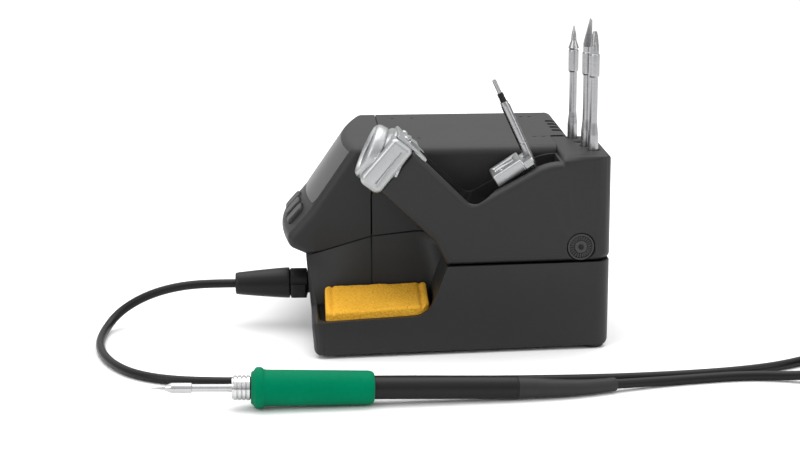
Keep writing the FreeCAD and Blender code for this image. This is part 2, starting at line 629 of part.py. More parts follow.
# ---------------------------------------------------------------- inside the housing
def make_power_parts():
    core = box((-58, -12), (5, 55), (13, 49)).cut(box((-48, -22), (15, 45), (6, 60)))
    core = core.fuse(box((-58, -12), (25, 35), (13, 49))).removeSplitter()
    save("transformer_core", core)
    coils = []
    for y in (15.2, 35.2):
        coils.append(soft_box((-47.8, -22.2), (y, y + 9.6), (14, 48), 2.0))
    save("transformer_windings", *coils)
    strap = box((-62, -8), (2, 58), (49.05, 50.6))
    strap = strap.fuse([box((-62, -60.5), (20, 40), (5.5, 50)), box((-9.5, -8), (20, 40), (5.5, 50))])
    save("transformer_bracket", strap.removeSplitter())
    board = box((-66, 30), (-60, 0), (9.5, 11.1)).cut(rod(1.6, 6, V(-60, -54, 7)))
    save("power_board", board)
    fins = box((12, 30), (-40, -6), (11.15, 13.2))
    for i in range(5):
        fins = fins.fuse(box((12 + i * 4.1, 13.4 + i * 4.1), (-40, -6), (13, 30)))
    save("heatsink", fins.removeSplitter())
    cans = []
    for x, y, r, h in ((-54, -48, 6.0, 20), (-38, -48, 6.0, 20), (-54, -12, 4.0, 14), (-42, -12, 4.0, 14)):
        cans.append(rod(r, h, V(x, y, 11.15)))
    save("capacitors", *cans)
    save("relay", box((-28, -12), (-52, -34), (11.15, 26)))


def make_socket():
    axis = V(0, 1, 0)
    face_y = -71.2
    flange = tube(8.9, 6.2, 2.0, V(SOCKET_X, face_y, SOCKET_Z), axis)
    shell = tube(7.2, 6.2, 17, V(SOCKET_X, face_y, SOCKET_Z), axis)
    back = rod(7.2, 3.0, V(SOCKET_X, face_y + 15, SOCKET_Z), axis)
    save("tool_socket", flange.fuse([shell, back]).removeSplitter())
    pins = []
    for i in range(6):
        turn = math.radians(60 * i)
        at = V(SOCKET_X + 3.0 * math.cos(turn), face_y + 8.0, SOCKET_Z + 3.0 * math.sin(turn))
        pins.append(rod(0.6, 15, at, axis))
    save("socket_pins", *pins)


def make_rear_panel():
    x, z = REAR_PANEL_X, REAR_PANEL_Z
    plate = box((x[0] + 0.3, x[1] - 0.3), (REAR - 2.2, REAR - 0.2), (z[0] + 0.3, z[1] - 0.3))
    inlet_hole = box(INLET_X, (60, 90), INLET_Z)
    switch_hole = box(SWITCH_X, (60, 90), SWITCH_Z)
    fuse_hole = box(FUSE_X, (60, 90), FUSE_Z)
    plate = plate.cut(inlet_hole).cut(switch_hole).cut(fuse_hole).cut(rod(4.2, 20, V(*JACK_AT), V(0, -1, 0)))
    save("rear_panel", plate)
    x1, x2 = INLET_X
    z1, z2 = INLET_Z
    inlet = box((x1 + 0.1, x2 - 0.1), (REAR - 16, REAR - 0.2), (z1 + 0.1, z2 - 0.1))
    rim = box((x1 - 1.5, x2 + 1.5), (REAR - 0.2, REAR + 1.4), (z1 - 1.5, z2 + 1.5))
    middle = (INLET_X[0] + INLET_X[1]) / 2
    cave = prism(
        [(middle - 12, 16.0, 2), (middle + 12, 16.0, 2), (middle + 12, 27.0, 2), (middle + 7, 31.0, 2),
         (middle - 7, 31.0, 2), (middle - 12, 27.0, 2)],
        "xz", REAR - 13.5, REAR + 3,
    )
    body = inlet.fuse(rim).cut(cave)
    save("mains_inlet", body.removeSplitter())
    blades = []
    for dx, zc in ((-7.0, 21.5), (0.0, 25.0), (7.0, 21.5)):
        blades.append(box((middle + dx - 1, middle + dx + 1), (REAR - 18.8, REAR - 2), (zc - 2, zc + 2)))
    save("inlet_blades", *blades)
    x1, x2 = FUSE_X
    z1, z2 = FUSE_Z
    tray = box((x1 + 0.4, x2 - 0.4), (REAR - 14, REAR - 0.1), (z1 + 0.4, z2 - 0.4))
    face = box((x1 - 0.6, x2 + 0.6), (REAR, REAR + 1.6), (z1 - 0.5, z2 + 0.5))
    trough = box((x1 + 2, x2 - 2), (REAR - 10.0, REAR - 2.0), (z1 + 1.8, z2 + 5))
    drawer = tray.fuse(face).removeSplitter().cut(trough)
    save("fuse_drawer", drawer)
    save("fuse", rod(2.5, 20, V(x1 + 4, REAR - 6.0, (z1 + z2) / 2), V(1, 0, 0)))
    x1, x2 = SWITCH_X
    z1, z2 = SWITCH_Z
    frame = box((x1 + 0.1, x2 - 0.1), (REAR - 12, REAR - 0.1), (z1 + 0.1, z2 - 0.1))
    lip = box((x1 - 1.2, x2 + 1.2), (REAR - 0.1, REAR + 1.3), (z1 - 1.2, z2 + 1.2))
    well = box((x1 + 1.2, x2 - 1.2), (REAR - 10, REAR + 3), (z1 + 1.2, z2 - 1.2))
    save("switch_frame", frame.fuse(lip).cut(well).removeSplitter())
    cx, cz = ROCKER_AT
    half = (z2 - z1) / 2 - 2.4
    rocker = prism(
        [(REAR - 5.5, cz - half + 1.6, 0), (REAR + 0.6, cz - half, 0.6), (REAR + 1.4, cz, 0),
         (REAR + 2.6, cz + half, 0.6), (REAR - 5.5, cz + half - 1.6, 0)],
        "yz", x1 + 1.6, x2 - 1.6,
    )
    pivot = rod(1.2, x2 - x1 - 2.6, V(x1 + 1.3, REAR - 2, cz), V(1, 0, 0))
    save("power_rocker", rocker.fuse(pivot).removeSplitter())
    jack = tube(4.0, 2.0, 18.0, V(JACK_AT[0], REAR + 1.0, JACK_AT[2]), V(0, -1, 0))
    nut = tube(5.3, 4.05, 2.0, V(JACK_AT[0], REAR - 2.3, JACK_AT[2]), V(0, -1, 0))
    save("earth_jack", jack)
    save("earth_jack_nut", nut)
    screws = []
    for sx in (x[0] + 2.8, x[1] - 3.5):
        for sz in (z[0] + 3.5, z[1] - 3.5):
            profile = [(0, 1.3), (1.9, 1.3), (2.15, 2.2), (3.1, 1.8)]
            screws.append(turned(profile, V(sx, REAR - 2.3, sz), V(0, 1, 0)))
    save("panel_screws", *screws)


INLET_X = (-59.0, -31.0)
INLET_Z = (14.0, 34.0)
FUSE_X = (-59.0, -31.0)
FUSE_Z = (37.4, 46.4)
SWITCH_X = (-27.0, -14.0)
SWITCH_Z = (16.0, 38.0)
ROCKER_AT = (-20.5, 27.0)
JACK_AT = (-8.0, REAR + 5, 24.0)


# ---------------------------------------------------------------- plug and cord
BOOT_Y = -112.5
PLUG_Y = -69.8


def make_plug():
    axis = V(0, -1, 0)
    at = V(SOCKET_X, PLUG_Y, SOCKET_Z)
    nose = tube(5.9, 4.8, 15.5, V(SOCKET_X, PLUG_Y + 11.5, SOCKET_Z), axis)
    body = turned([(2.6, 5.9), (3.2, 8.0), (12.0, 8.0), (12.4, 7.2), (22.0, 6.9)], at, axis)
    save("plug_body", body.fuse(nose).removeSplitter())
    boot = turned([(12.6, 8.3), (13.2, 8.5), (20.0, 8.1), (41.6, 6.2), (42.7, 5.5)], at, axis)
    boot = boot.cut(turned([(11.0, 8.1), (12.45, 8.1), (12.5, 7.3), (22.1, 7.0), (22.2, 5.9)], at, axis))
    boot = boot.cut(rod(CORD_D / 2, 12, V(SOCKET_X, BOOT_Y + 10, SOCKET_Z), axis))
    save("plug_boot", boot)
    low = SOCKET_Z - 6.4
    latch = soft_box((SOCKET_X + 1.0, SOCKET_X + 9.6), (PLUG_Y - 12.0, PLUG_Y - 3.3), (low, low + 7.4), 1.0)
    latch = latch.cut(rod(8.15, 30, at + V(0, 5, 0), axis))
    save("plug_latch", latch)


ROUTE_OUT = [
    (5.0, BOOT_Y + 1.0, SOCKET_Z), (5.0, -125.0, 24.2), (4.5, -141.0, 23.2), (4.0, -156.0, 19.8),
    (4.5, -168.5, 14.5), (8.0, -178.0, 8.5), (16.0, -183.0, 3.4), (30.0, -184.5, 2.5), (48.0, -184.0, 2.5),
    (66.0, -180.5, 2.5),
    (84.0, -173.5, 2.5), (101.0, -162.0, 2.5), (112.0, -145.0, 2.5), (117.0, -122.0, 2.5), (119.0, -86.0, 2.5),
    (119.5, -34.0, 2.5), (124.0, 20.0, 2.5), (125.0, 70.0, 2.5), (122.5, 108.0, 2.5), (118.0, 140.0, 2.5),
    (110.5, 166.0, 2.5), (97.5, 188.0, 2.5), (89.4, 214.0, 2.5),
]
TAIL_START = (138.6, 78.3, 3.9)
ROUTE_BACK = [
    TAIL_START, (132.2, 100.0, 2.7), (127.6, 124.0, 2.5), (124.2, 148.0, 2.5), (129.0, 173.0, 3.0),
    (141.5, 194.0, 9.0), (146.6, 214.0, 12.2),
]


def cord_run(name, route):
    """Round tube along straight runs joined by tangent arcs, each arc as large as its runs allow."""
    points = [V(*p) for p in route]
    edges = []
    last = points[0]
    radii = []
    for i in range(1, len(points) - 1):
        here = points[i]
        back = points[i - 1] - here
        ahead = points[i + 1] - here
        reach = 0.45 * min(back.Length, ahead.Length)
        back.normalize()
        ahead.normalize()
        turn = math.pi - back.getAngle(ahead)
        radius = reach / math.tan(turn / 2)
        radii.append(round(radius, 1))
        start = here + back * reach
        end = here + ahead * reach
        middle = back + ahead
        middle.normalize()
        tip = here + middle * (math.hypot(radius, reach) - radius)
        edges.append(Part.LineSegment(last, start).toShape())
        edges.append(Part.Arc(start, tip, end).toShape())
        last = end
    edges.append(Part.LineSegment(last, points[-1]).toShape())
    path = Part.Wire(edges)
    section = Part.Wire([Part.Circle(points[0], points[1] - points[0], CORD_D / 2).toShape()])
    solid = path.makePipeShell([section], True, False)
    ideal = math.pi * (CORD_D / 2) ** 2 * path.Length
    print(name, "length", round(path.Length, 1), "tightest radii", sorted(radii)[:4],
          "volume ratio", round(solid.Volume / ideal, 4))
    save(name, solid)
    return path.Length


def make_cord():
    out = cord_run("cord_from_plug", ROUTE_OUT)
    back = cord_run("cord_to_handpiece", ROUTE_BACK)
    outer = COIL_MEAN_R + CORD_D
    coil = tube(outer + 0.2, COIL_MEAN_R - CORD_D - 0.2, COIL_TURNS_HIGH * CORD_D + 0.2, COIL_AT + V(0, 0, 0.1))
    save("cord_coil", coil)
    print("free runs", round(out + back, 1))


# ---------------------------------------------------------------- handpiece on the bench
BEAD_AT = V(152.6, -97.2, BEAD_D / 2 + 0.15)
TAIL_AT = V(147.2, 28.5, TUBE_D / 2 + 0.3)
hand_axis = TAIL_AT - BEAD_AT
hand_axis.normalize()


def along(distance):
    """Point on the handpiece's axis, measured from the grip's bead towards the cord."""
    return BEAD_AT + hand_axis * distance


def make_handpiece():
    tail = (TAIL_AT - BEAD_AT).Length
    tube_r = TUBE_D / 2
    handle = turned([(-6.0, tube_r - 0.6), (tail, tube_r - 0.25)], BEAD_AT, hand_axis)
    handle = handle.cut(turned([(-7.0, 2.9), (34.0, 2.9), (34.1, 4.6), (tail + 1, 4.6)], BEAD_AT, hand_axis))
    save("handle_tube", handle)
    grip = turned(
        [(-3.9, 7.4), (-3.2, 7.9), (-2.2, 8.6), (-1.8, 9.6), (0.0, BEAD_D / 2), (1.8, 9.6), (2.6, 8.9), (20, 8.7),
         (53.2, 8.3), (54.9, 7.9), (55.7, 6.9)],
        BEAD_AT, hand_axis,
    )
    grip = grip.cut(turned([(-8, tube_r - 0.6), (tail, tube_r - 0.25)], BEAD_AT, hand_axis))
    save("grip_sleeve", grip)
    collar_profile = [(-4.05, 5.3)]
    pitch = 2.1
    for i in range(4):
        low = -4.3 - i * pitch
        collar_profile += [(low, 6.1), (low - 1.6, 6.1), (low - 1.85, 5.4)]
    collar_profile.append((-13.2, 5.6))
    collar = turned(collar_profile, BEAD_AT, hand_axis)
    collar = collar.cut(turned([(-15.0, 2.5), (-8.0, 2.5), (-7.9, 2.9), (-6.1, 2.9), (-6.0, 5.3), (-3.0, 5.3)],
                               BEAD_AT, hand_axis))
    save("collar_nut", collar)
    contact = turned([(20.0, 1.2), (22.0, 2.7), (33.0, 2.7)], BEAD_AT, hand_axis)
    save("contact_block", contact)
    # cartridge in use: tip, sleeve and shaft, plugged into the handle
    iron = turned(
        [(-52.4, 0.25), (-49.0, 0.5), (-44.9, 1.3), (-44.6, 1.5), (-41.9, 2.5), (-32.0, 2.55), (-31.0, 1.9),
         (-15.0, 1.9), (-11.0, 2.2), (-4.0, 2.3), (19.5, 2.3), (19.8, 1.0)],
        BEAD_AT, hand_axis,
    )
    save("cartridge_in_use", iron)


def make_strain_relief():
    """Sleeve that narrows and bends from the handle tube to the cord."""
    stations = [
        (TAIL_AT + hand_axis * 0.15, hand_axis, 5.3),
        (V(146.4, 44.0, 5.2), V(-0.07, 1, -0.03), 4.7),
        (V(144.2, 60.0, 4.5), V(-0.2, 1, -0.03), 3.95),
        (V(*TAIL_START), V(*ROUTE_BACK[1]) - V(*TAIL_START), 3.45),
    ]
    rings = []
    for at, direction, radius in stations:
        rings.append(Part.Wire([Part.Circle(at, direction, radius).toShape()]))
    sleeve = Part.makeLoft(rings, True, False)
    save("strain_relief", sleeve)


make_base()
make_housing()
make_controls()
make_stand()
make_wheel()
make_holder()
make_extractor()
make_spare()
make_rack_cartridges()
make_sponge()
make_feet()
make_power_parts()
make_socket()
make_rear_panel()
make_plug()
make_cord()
make_handpiece()
make_strain_relief()

for node, shape in sorted(built.items()):
    bounds = shape.BoundBox
    state = "ok" if shape.isValid() else "NOT VALID"
    print(f"{node:22s} {state} solids {len(shape.Solids)} z {bounds.ZMin:7.2f} {bounds.ZMax:7.2f}"
          f" volume {shape.Volume:10.1f}")
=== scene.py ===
import json
import math

import bmesh
import bpy
from mathutils import Matrix, Vector


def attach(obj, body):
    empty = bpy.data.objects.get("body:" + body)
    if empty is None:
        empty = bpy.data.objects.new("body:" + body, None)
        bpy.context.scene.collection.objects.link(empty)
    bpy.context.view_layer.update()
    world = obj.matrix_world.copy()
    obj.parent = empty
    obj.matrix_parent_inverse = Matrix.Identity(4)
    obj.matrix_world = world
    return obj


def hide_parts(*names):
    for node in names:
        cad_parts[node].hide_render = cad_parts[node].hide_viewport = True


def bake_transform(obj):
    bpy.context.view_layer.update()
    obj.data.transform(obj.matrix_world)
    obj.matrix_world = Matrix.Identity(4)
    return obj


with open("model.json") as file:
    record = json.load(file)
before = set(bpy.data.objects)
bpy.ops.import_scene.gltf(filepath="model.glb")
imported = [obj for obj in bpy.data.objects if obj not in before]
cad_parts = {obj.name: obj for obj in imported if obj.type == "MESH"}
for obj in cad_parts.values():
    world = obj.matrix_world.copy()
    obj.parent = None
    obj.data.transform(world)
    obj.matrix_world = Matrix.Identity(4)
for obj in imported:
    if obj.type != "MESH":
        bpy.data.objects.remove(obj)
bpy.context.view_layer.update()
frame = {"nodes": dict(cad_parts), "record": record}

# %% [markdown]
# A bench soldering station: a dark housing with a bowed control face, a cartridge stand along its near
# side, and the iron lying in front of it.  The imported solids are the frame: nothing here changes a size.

MM = 0.001
FULL_TURN = 2 * math.pi
bodies = frame["record"]["behaviour"]["bodies"]
body_of_node = {node: body for body, nodes in bodies.items() for node in nodes}
slot_of_node = {part["node"]: part["material_slot"] for part in frame["record"]["subparts"]}

# %% [markdown]
# The camera comes first.  It looks across the stand's side from a little above the bench, through a long
# lens, so the sides stay almost parallel.

# %% Camera
LENS = 85.0
CAMERA_AT = Vector((1.02368, -0.07538, 0.28933))
LOOK_DOWN = math.radians(12.9)
LOOK_BACK = math.radians(3.06)
ROLL = math.radians(-0.26)
look = Vector((-math.cos(LOOK_DOWN) * math.cos(LOOK_BACK), math.cos(LOOK_DOWN) * math.sin(LOOK_BACK),
               -math.sin(LOOK_DOWN)))
camera_data = bpy.data.cameras.new("camera")
camera_data.lens = LENS
camera_data.sensor_width = 36.0
camera = bpy.data.objects.new("camera", camera_data)
camera.matrix_world = (
    Matrix.Translation(CAMERA_AT) @ look.to_track_quat("-Z", "Y").to_matrix().to_4x4() @ Matrix.Rotation(ROLL, 4, "Z")
)
bpy.context.scene.collection.objects.link(camera)
bpy.context.scene.camera = camera
print("camera", [round(c, 3) for c in camera.location])

# %% [markdown]
# Every new piece ends in the same way: its mesh is already in place, its object sits at the origin, and it
# rides on the rigid body of the solid that it stands for.  Smooth shading is kept off edges that turn
# sharply, and the Weighted Normal modifier keeps large flat faces flat beside their small rounded edges.

# %% Helper that finishes a piece
def place_piece(name, mesh, material, node, *others, body=None, sharp=32.0):
    """Put a finished mesh in the scene for one or more solids."""
    for face in mesh.polygons:
        face.use_smooth = True
    mesh.set_sharp_from_angle(angle=math.radians(sharp))
    piece = bpy.data.objects.new(name, mesh)
    bpy.context.scene.collection.objects.link(piece)
    mesh.materials.clear()
    mesh.materials.append(material)
    normals = piece.modifiers.new("flat faces stay flat", "WEIGHTED_NORMAL")
    normals.keep_sharp = True
    if node:
        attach(piece, body or body_of_node[node])
        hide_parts(node, *others)
    return piece


def points_mm(points):
    return [Vector(p) * MM for p in points]


# %% [markdown]
# The cord is a fixed length of round silicone lead, 4.8 mm thick.  It leaves the plug's boot, drops to the
# bench, runs behind the iron, is wound up out of the way and comes back to the iron's sleeve.  A NURBS curve
# of order 3 touches each straight of its control polygon, so the route can be set down as a few points.
# The curve is then turned into a tube mesh.

# %% The cord's route
CORD_D = 4.8
RELIEF_END = (138.6, 78.3, 3.9)
COIL_CENTRE = (118.0, 222.0)
BENCH = 2.5
route_out = [
    (5.0, -111.5, 24.0), (5.0, -125.0, 24.2), (4.5, -141.0, 23.2), (4.0, -156.0, 19.8), (4.5, -168.5, 14.5),
    (8.0, -178.0, 8.5), (16.0, -183.0, 3.4), (30.0, -184.5, BENCH), (48.0, -184.0, BENCH), (66.0, -180.5, BENCH),
    (84.0, -173.5, BENCH), (101.0, -162.0, BENCH), (112.0, -145.0, BENCH), (117.0, -122.0, BENCH),
    (119.0, -86.0, BENCH), (119.5, -34.0, BENCH), (124.0, 20.0, BENCH), (125.0, 70.0, BENCH), (122.5, 108.0, BENCH),
    (118.0, 140.0, BENCH), (110.5, 166.0, BENCH), (97.5, 188.0, BENCH), (89.4, 206.0, BENCH),
]
route_back = [
    (146.6, 214.0, 12.1), (141.5, 194.0, 9.0), (129.0, 173.0, 3.0), (124.2, 148.0, BENCH), (127.6, 124.0, BENCH),
    (132.2, 100.0, 2.7), RELIEF_END,
]
print("route points", len(route_out), "out and", len(route_back), "back")

# %% [markdown]
# The spare length is wound as a coil of four and a half turns.  Two turns lie side by side in each layer.
# Each change of place comes one sixth of a turn earlier than the one below it, so no turn cuts another.

# %% The wound-up part
OUTER_TURN = 28.6
INNER_TURN = 23.8
COIL_TURNS = 4.5
STEPS_PER_TURN = 24


def coil_place(turns):
    """Radius and height of the cord after so many turns."""
    radius, height = OUTER_TURN, BENCH
    changes = [(0.83, -1, 0), (1.66, 0, 1), (2.49, 1, 0), (3.32, 0, 1)]
    for begin, outwards, upwards in changes:
        part = min(max((turns - begin) / 0.166, 0.0), 1.0)
        part = part * part * (3 - 2 * part)
        radius += outwards * part * (OUTER_TURN - INNER_TURN)
        height += upwards * part * CORD_D
    return radius, height


coil_points = []
for i in range(int(COIL_TURNS * STEPS_PER_TURN) + 1):
    turns = i / STEPS_PER_TURN
    radius, height = coil_place(turns)
    angle = math.pi - turns * FULL_TURN
    coil_points.append((COIL_CENTRE[0] + radius * math.cos(angle), COIL_CENTRE[1] + radius * math.sin(angle), height))
print("coil points", len(coil_points), "last", [round(c, 1) for c in coil_points[-1]])


# %% Tube along a NURBS curve
def cord_curve(name, points, thickness):
    data = bpy.data.curves.new(name, "CURVE")
    data.dimensions = "3D"
    data.resolution_u = 5
    data.bevel_depth = thickness / 2
    data.bevel_resolution = 5
    data.use_fill_caps = thickness > 0
    spline = data.splines.new("NURBS")
    spline.points.add(len(points) - 1)
    for point, place in zip(spline.points, points_mm(points)):
        point.co = (*place, 1.0)
    spline.order_u = 3
    spline.use_endpoint_u = True
    return bpy.data.objects.new(name, data)


def cord_tube(name, points):
    """The tube's mesh and the line it follows."""
    meshes = []
    for thickness in (CORD_D * MM, 0.0):
        curve = cord_curve(name, points, thickness)
        bpy.context.scene.collection.objects.link(curve)
        seen = curve.evaluated_get(bpy.context.evaluated_depsgraph_get())
        meshes.append(bpy.data.meshes.new_from_object(seen))
        bpy.data.objects.remove(curve)
    line = [tuple(v.co) for v in meshes[1].vertices]
    shape = bmesh.new()
    shape.from_mesh(meshes[0])
    bmesh.ops.remove_doubles(shape, verts=shape.verts, dist=1e-6)
    bmesh.ops.recalc_face_normals(shape, faces=shape.faces)
    shape.to_mesh(meshes[0])
    shape.free()
    length = sum((Vector(b) - Vector(a)).length for a, b in zip(line, line[1:]))
    print(name, "length", round(length, 4), "m in", len(line), "points")
    return meshes[0], line, length


cord_out_mesh, cord_out_line, cord_out_length = cord_tube("cord_out", route_out + coil_points)
cord_back_mesh, cord_back_line, cord_back_length = cord_tube("cord_back", route_back)

# %% [markdown]
# Materials are small node trees.  This class wraps one socket, so that a pattern can be written as a sum: a
# noise value times 0.1 plus 0.5.  Each operator adds one Math node.  The method node adds any other node.

# %% Writing shader maths as sums
class Value:
    """One output socket in a material, with arithmetic."""

    def __init__(self, tree, socket):
        self.tree = tree
        self.socket = socket

    def math(self, operation, first, second):
        return self.node("ShaderNodeMath", {"operation": operation}, {0: first, 1: second})

    def node(self, kind, settings=None, inputs=None, output=0):
        made = self.tree.nodes.new(kind)
        for key, value in (settings or {}).items():
            if key == "stops":
                for stop, (position, colour) in zip(made.color_ramp.elements, value):
                    stop.position = position
                    stop.color = (*colour, 1.0)
            else:
                setattr(made, key, value)
        for key, value in (inputs or {}).items():
            if isinstance(value, Value):
                self.tree.links.new(value.socket, made.inputs[key])
            else:
                made.inputs[key].default_value = value
        return Value(self.tree, made.outputs[output])

    def __add__(self, other):
        return self.math("ADD", self, other)

    def __radd__(self, other):
        return self.math("ADD", other, self)

    def __sub__(self, other):
        return self.math("SUBTRACT", self, other)

    def __rsub__(self, other):
        return self.math("SUBTRACT", other, self)

    def __mul__(self, other):
        return self.math("MULTIPLY", self, other)

    def __rmul__(self, other):
        return self.math("MULTIPLY", other, self)


# %% Starting and closing a material
def start_material(name, roughness, metallic=0.0, coat=0.0, coat_roughness=0.1, specular=0.5):
    """A named material with its fixed values; returns it, its shader and the Object coordinates."""
    material = bpy.data.materials.new(name)
    material.use_nodes = True
    tree = material.node_tree
    shader = tree.nodes["Principled BSDF"]
    shader.inputs["Roughness"].default_value = roughness
    shader.inputs["Metallic"].default_value = metallic
    shader.inputs["Coat Weight"].default_value = coat
    shader.inputs["Coat Roughness"].default_value = coat_roughness
    shader.inputs["Specular IOR Level"].default_value = specular
    places = tree.nodes.new("ShaderNodeTexCoord")
    return material, shader, Value(tree, places.outputs["Object"])


def feed(shader, socket, value):
    value.tree.links.new(value.socket, shader.inputs[socket])


def noise(at, scale, detail=2.0, roughness=0.5):
    return at.node("ShaderNodeTexNoise", {}, {"Vector": at, "Scale": scale, "Detail": detail, "Roughness": roughness})


def bump(shader, height, distance, strength=1.0):
    """Small relief; the distance is in metres."""
    relief = height.node("ShaderNodeBump", {}, {"Height": height, "Distance": distance, "Strength": strength})
    feed(shader, "Normal", relief)


def two_tone(amount, dark, light):
    """Colour between dark and light as amount goes from 0 to 1."""
    return amount.node("ShaderNodeValToRGB", {"stops": [(0.0, dark), (1.0, light)]}, {"Fac": amount})


# %% [markdown]
# The housing is moulded plastic with a fine spark-eroded grain: a dark grey that breaks a highlight into a
# soft sheen.  Two noises do it: a very fine one for the grain and a slow one for handling marks.

# %% Moulded plastics
def grained_plastic(name, dark, light, roughness, grain_size=0.00045, depth=0.00005, specular=0.3):
    material, shader, at = start_material(name, roughness, specular=specular)
    grain = noise(at, 1 / grain_size, 3.0)
    cloud = noise(at, 22.0, 2.0)
    feed(shader, "Base Color", two_tone(grain * 0.55 + cloud * 0.45, dark, light))
    feed(shader, "Roughness", roughness - 0.06 + cloud * 0.12)
    bump(shader, grain, depth)
    return material


housing_paint = grained_plastic("charcoal housing", (0.012, 0.012, 0.0124), (0.021, 0.021, 0.0215), 0.48)
key_paint = grained_plastic("key caps", (0.030, 0.030, 0.031), (0.046, 0.046, 0.047), 0.42)
DEEP_BLACK = (0.004, 0.004, 0.0042)
LIGHTER_BLACK = (0.008, 0.008, 0.0083)
satin_black = grained_plastic("satin black", DEEP_BLACK, LIGHTER_BLACK, 0.36, 0.0006, 0.00003, 0.22)
handle_black = grained_plastic("handle black", DEEP_BLACK, LIGHTER_BLACK, 0.40, 0.0004, 0.00003, 0.22)
sleeve_black = grained_plastic("sleeve black", (0.010, 0.010, 0.0105), (0.018, 0.018, 0.0185), 0.50, 0.0005, 0.00003)
cord_black = grained_plastic("cord jacket", (0.003, 0.003, 0.0032), (0.007, 0.007, 0.0073), 0.36, 0.0009, 0.00003, 0.22)
foot_black = grained_plastic("foot rubber", (0.014, 0.014, 0.014), (0.022, 0.022, 0.022), 0.7, 0.0007, 0.00006)
board_green = grained_plastic("circuit board", (0.01, 0.09, 0.035), (0.02, 0.13, 0.05), 0.4, 0.004, 0.00002)
winding_red = grained_plastic("winding", (0.24, 0.07, 0.02), (0.42, 0.13, 0.04), 0.3, 0.0009, 0.0001)
core_grey = grained_plastic("core sheets", (0.06, 0.06, 0.065), (0.10, 0.10, 0.105), 0.55, 0.0006, 0.0001)
print("plastics made")

# %% [markdown]
# The iron's grip is green foam rubber: matt, soft to the touch, with a faint mottled skin.  What little
# gloss it has is tinted green, so a highlight keeps the colour instead of greying it.

# %% Grip rubber
grip_green, shader, at = start_material("green grip", 0.62, specular=0.16)
shader.inputs["Specular Tint"].default_value = (0.05, 0.90, 0.55, 1.0)
mottle = noise(at, 420.0, 4.0, 0.6)
cloud = noise(at, 60.0, 2.0)
feed(shader, "Base Color", two_tone(mottle * 0.5 + cloud * 0.5, (0.0, 0.118, 0.052), (0.0, 0.178, 0.084)))
feed(shader, "Roughness", 0.56 + cloud * 0.12)
bump(shader, mottle, 0.00006)
print("grip rubber made")

# %% [markdown]
# The display window is a tinted panel.  Its body colour is a dark grey, and a thin clear coat gives it a
# softer reflection than polished glass would have.

# %% Display window
window_gloss, shader, at = start_material("display window", 0.34, coat=0.12, coat_roughness=0.2, specular=0.3)
haze = noise(at, 14.0, 2.0)
feed(shader, "Base Color", two_tone(haze, (0.040, 0.040, 0.041), (0.075, 0.075, 0.076)))
feed(shader, "Roughness", 0.30 + haze * 0.1)
print("window made")


# %% [markdown]
# Bare metals differ in how they were worked.  Die castings are blasted and soft, turned steel carries fine
# rings round its axis, and plating is bright.  A noise that is squeezed along the axis gives the rings.

# %% Metals
def worked_metal(name, dark, light, roughness, grain, depth, squeeze=(1.0, 1.0, 1.0), turn=(0.0, 0.0, 0.0)):
    material, shader, at = start_material(name, roughness, metallic=1.0)
    lined_up = at.node("ShaderNodeMapping", {}, {"Vector": at, "Rotation": turn, "Scale": squeeze})
    marks = noise(lined_up, 1 / grain, 3.0)
    smear = noise(at, 45.0, 3.0)
    feed(shader, "Base Color", two_tone(marks * 0.5 + smear * 0.5, dark, light))
    feed(shader, "Roughness", roughness - 0.07 + smear * 0.1 + marks * 0.06)
    bump(shader, marks, depth)
    return material


cast_metal = worked_metal("blasted casting", (0.32, 0.325, 0.33), (0.50, 0.505, 0.51), 0.38, 0.0007, 0.00006)
upright_steel = worked_metal("turned steel", (0.24, 0.24, 0.245), (0.50, 0.50, 0.51), 0.25, 0.004, 0.00001,
                             (0.2, 0.2, 8.0))
lying_steel = worked_metal("turned tip steel", (0.34, 0.34, 0.345), (0.60, 0.60, 0.61), 0.22, 0.004, 0.00001,
                           (0.2, 8.0, 0.2))
chrome = worked_metal("bright plate", (0.46, 0.46, 0.465), (0.66, 0.66, 0.67), 0.14, 0.003, 0.000005)
plated_sheet = worked_metal("plated sheet", (0.36, 0.37, 0.38), (0.50, 0.51, 0.52), 0.38, 0.002, 0.00002)
brass = worked_metal("brass", (0.62, 0.45, 0.18), (0.80, 0.62, 0.30), 0.28, 0.002, 0.00001)
print("metals made")

# %% [markdown]
# The wiping sponge is open-celled cellulose, amber and slightly damp.  Small cells come from a Voronoi
# pattern: each cell's edge is a pit in the relief, darkened in the colour by painted shade, and a few brown
# specks are scorched.

# %% Sponge
sponge_amber, shader, at = start_material("amber sponge", 0.85, specular=0.08)
cells = at.node("ShaderNodeTexVoronoi", {"feature": "F1"}, {"Vector": at, "Scale": 900.0})
specks = noise(at, 700.0, 2.0)
cloud = noise(at, 60.0, 3.0)
scorched = specks.node("ShaderNodeMapRange", {}, {"Value": specks, "From Min": 0.66, "From Max": 0.76})
# Low values at the cell edges are the pits: real relief in the bump, painted shade in the colour.
pores_and_pit_shade = 1.0 - cells * 0.9
amber_and_pit_shade = two_tone(pores_and_pit_shade * 0.6 + cloud * 0.4, (0.56, 0.25, 0.012), (0.88, 0.50, 0.060))
spotted = amber_and_pit_shade.node("ShaderNodeMix", {"data_type": "RGBA"},
                           {0: scorched, 6: amber_and_pit_shade, 7: (0.42, 0.17, 0.01, 1.0)}, output=2)
feed(shader, "Base Color", spotted)
bump(shader, pores_and_pit_shade + specks * 0.5, 0.0003)
print("sponge made")

# %% [markdown]
# Most solids only need their triangles merged and their rounded edges shaded smoothly.  A copy of each is
# made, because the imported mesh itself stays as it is.

